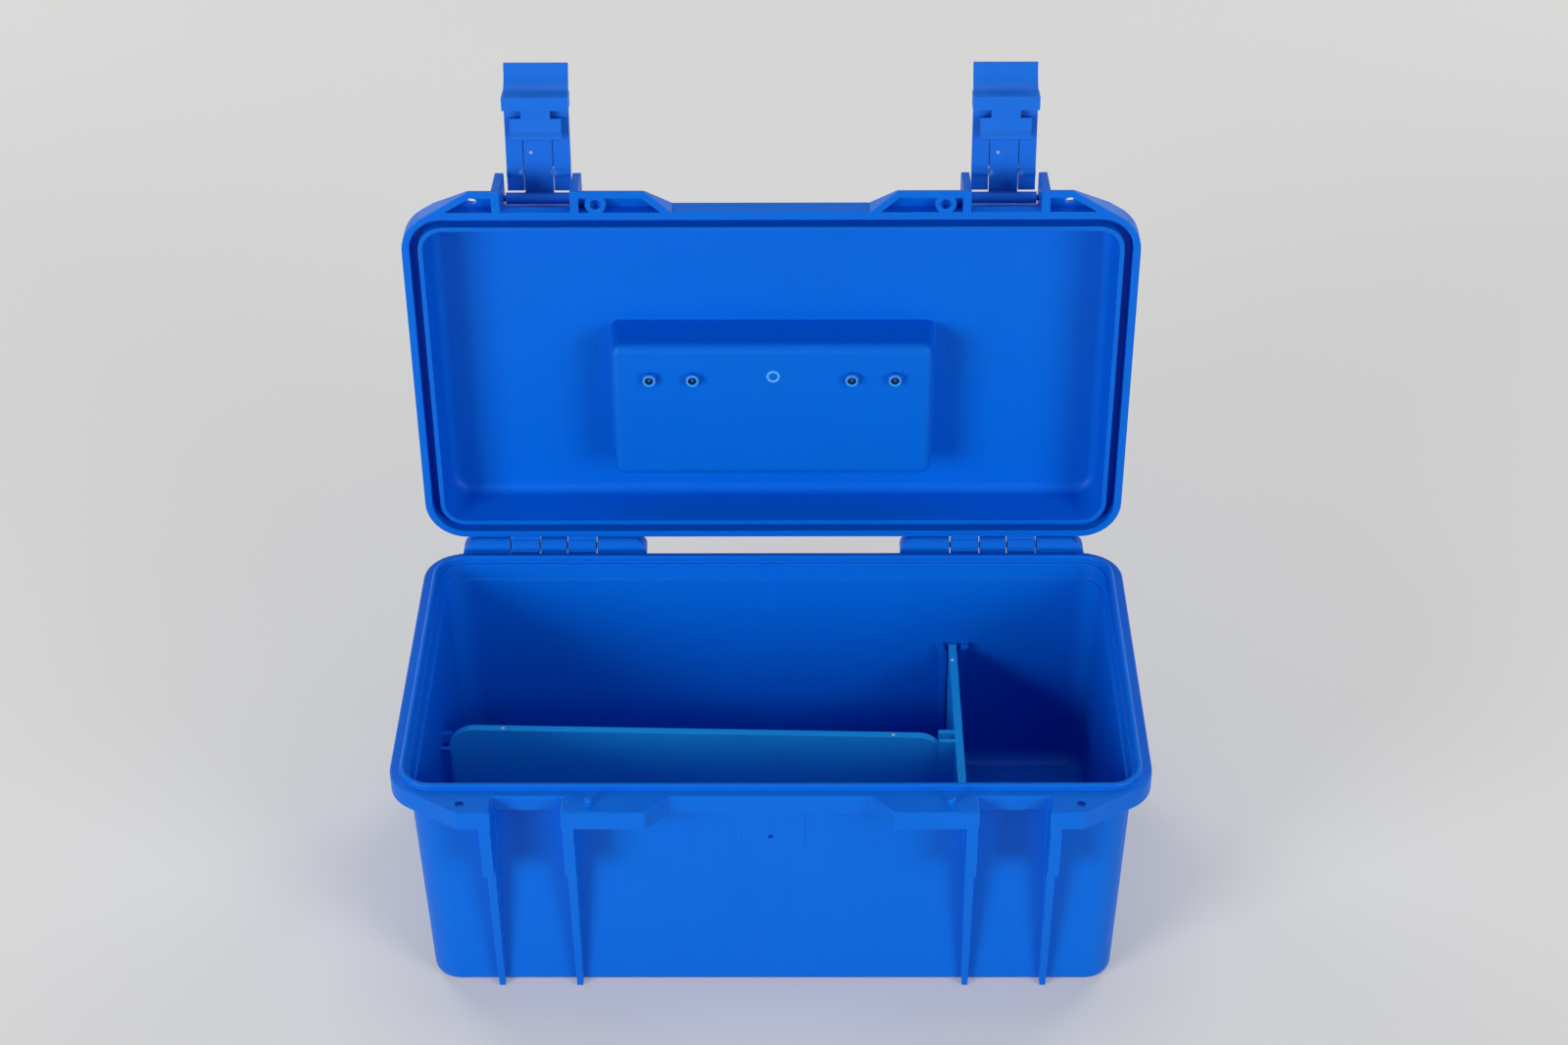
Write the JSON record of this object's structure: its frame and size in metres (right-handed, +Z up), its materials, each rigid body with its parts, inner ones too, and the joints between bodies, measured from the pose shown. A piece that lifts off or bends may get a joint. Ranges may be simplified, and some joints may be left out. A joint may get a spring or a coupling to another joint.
{
  "type": "plastic tool case",
  "caption": "Moulded plastic tool case with a deep divided base, a hinged lid, over-centre latches on the lid's front and a folding handle in a recess.",
  "frame": {"origin": "middle of the base's flat underside, on the plane it stands on", "axes": "+Z up; +X to the right seen from the front, where the latches close; -Y to the front, so the hinge is at +Y"},
  "size_m": [0.38, 0.2709, 0.4088],
  "materials": {
    "case_plastic": "satin",
    "latch_plastic": "satin",
    "divider_plastic": "satin",
    "steel": "satin"
  },
  "bodies": {
    "base": {"base_shell": "case_plastic", "hinge_pin_left": "steel", "hinge_pin_right": "steel", "long_divider": "divider_plastic", "cross_divider": "divider_plastic"},
    "lid": {"lid_shell": "case_plastic", "latch_pin_left": "steel", "latch_pin_right": "steel", "handle_bracket_left": "case_plastic", "handle_bracket_right": "case_plastic", "handle_screws": "steel"},
    "handle": {"carry_handle": "case_plastic"},
    "latch_link_left_body": {"latch_link_left": "latch_plastic"},
    "latch_lever_left_body": {"latch_lever_left": "latch_plastic"},
    "latch_link_right_body": {"latch_link_right": "latch_plastic"},
    "latch_lever_right_body": {"latch_lever_right": "latch_plastic"}
  },
  "joints": [
    {"name": "lid_hinge", "type": "hinge", "parent": "base", "child": "lid", "pos_m": [0, 0.10705, 0.14], "axis": [1, 0, 0], "range_deg": [0, 90.65]},
    {"name": "handle_fold", "type": "hinge", "parent": "lid", "child": "handle", "pos_m": [0, 0.12256, 0.24688], "axis": [1, 0, 0], "range_deg": [0, 124]},
    {"name": "latch_link_left_hinge", "type": "hinge", "parent": "lid", "child": "latch_link_left_body", "pos_m": [-0.12, 0.13236, 0.34363], "axis": [1, 0, 0], "range_deg": [-28, 97]},
    {"name": "latch_lever_left_hinge", "type": "hinge", "parent": "latch_link_left_body", "child": "latch_lever_left_body", "pos_m": [-0.12, 0.14055, 0.35463], "axis": [1, 0, 0], "range_deg": [-60, 0]},
    {"name": "latch_link_right_hinge", "type": "hinge", "parent": "lid", "child": "latch_link_right_body", "pos_m": [0.12, 0.13236, 0.34363], "axis": [1, 0, 0], "range_deg": [-28, 97]},
    {"name": "latch_lever_right_hinge", "type": "hinge", "parent": "latch_link_right_body", "child": "latch_lever_right_body", "pos_m": [0.12, 0.14055, 0.35463], "axis": [1, 0, 0], "range_deg": [-60, 0]}
  ]
}
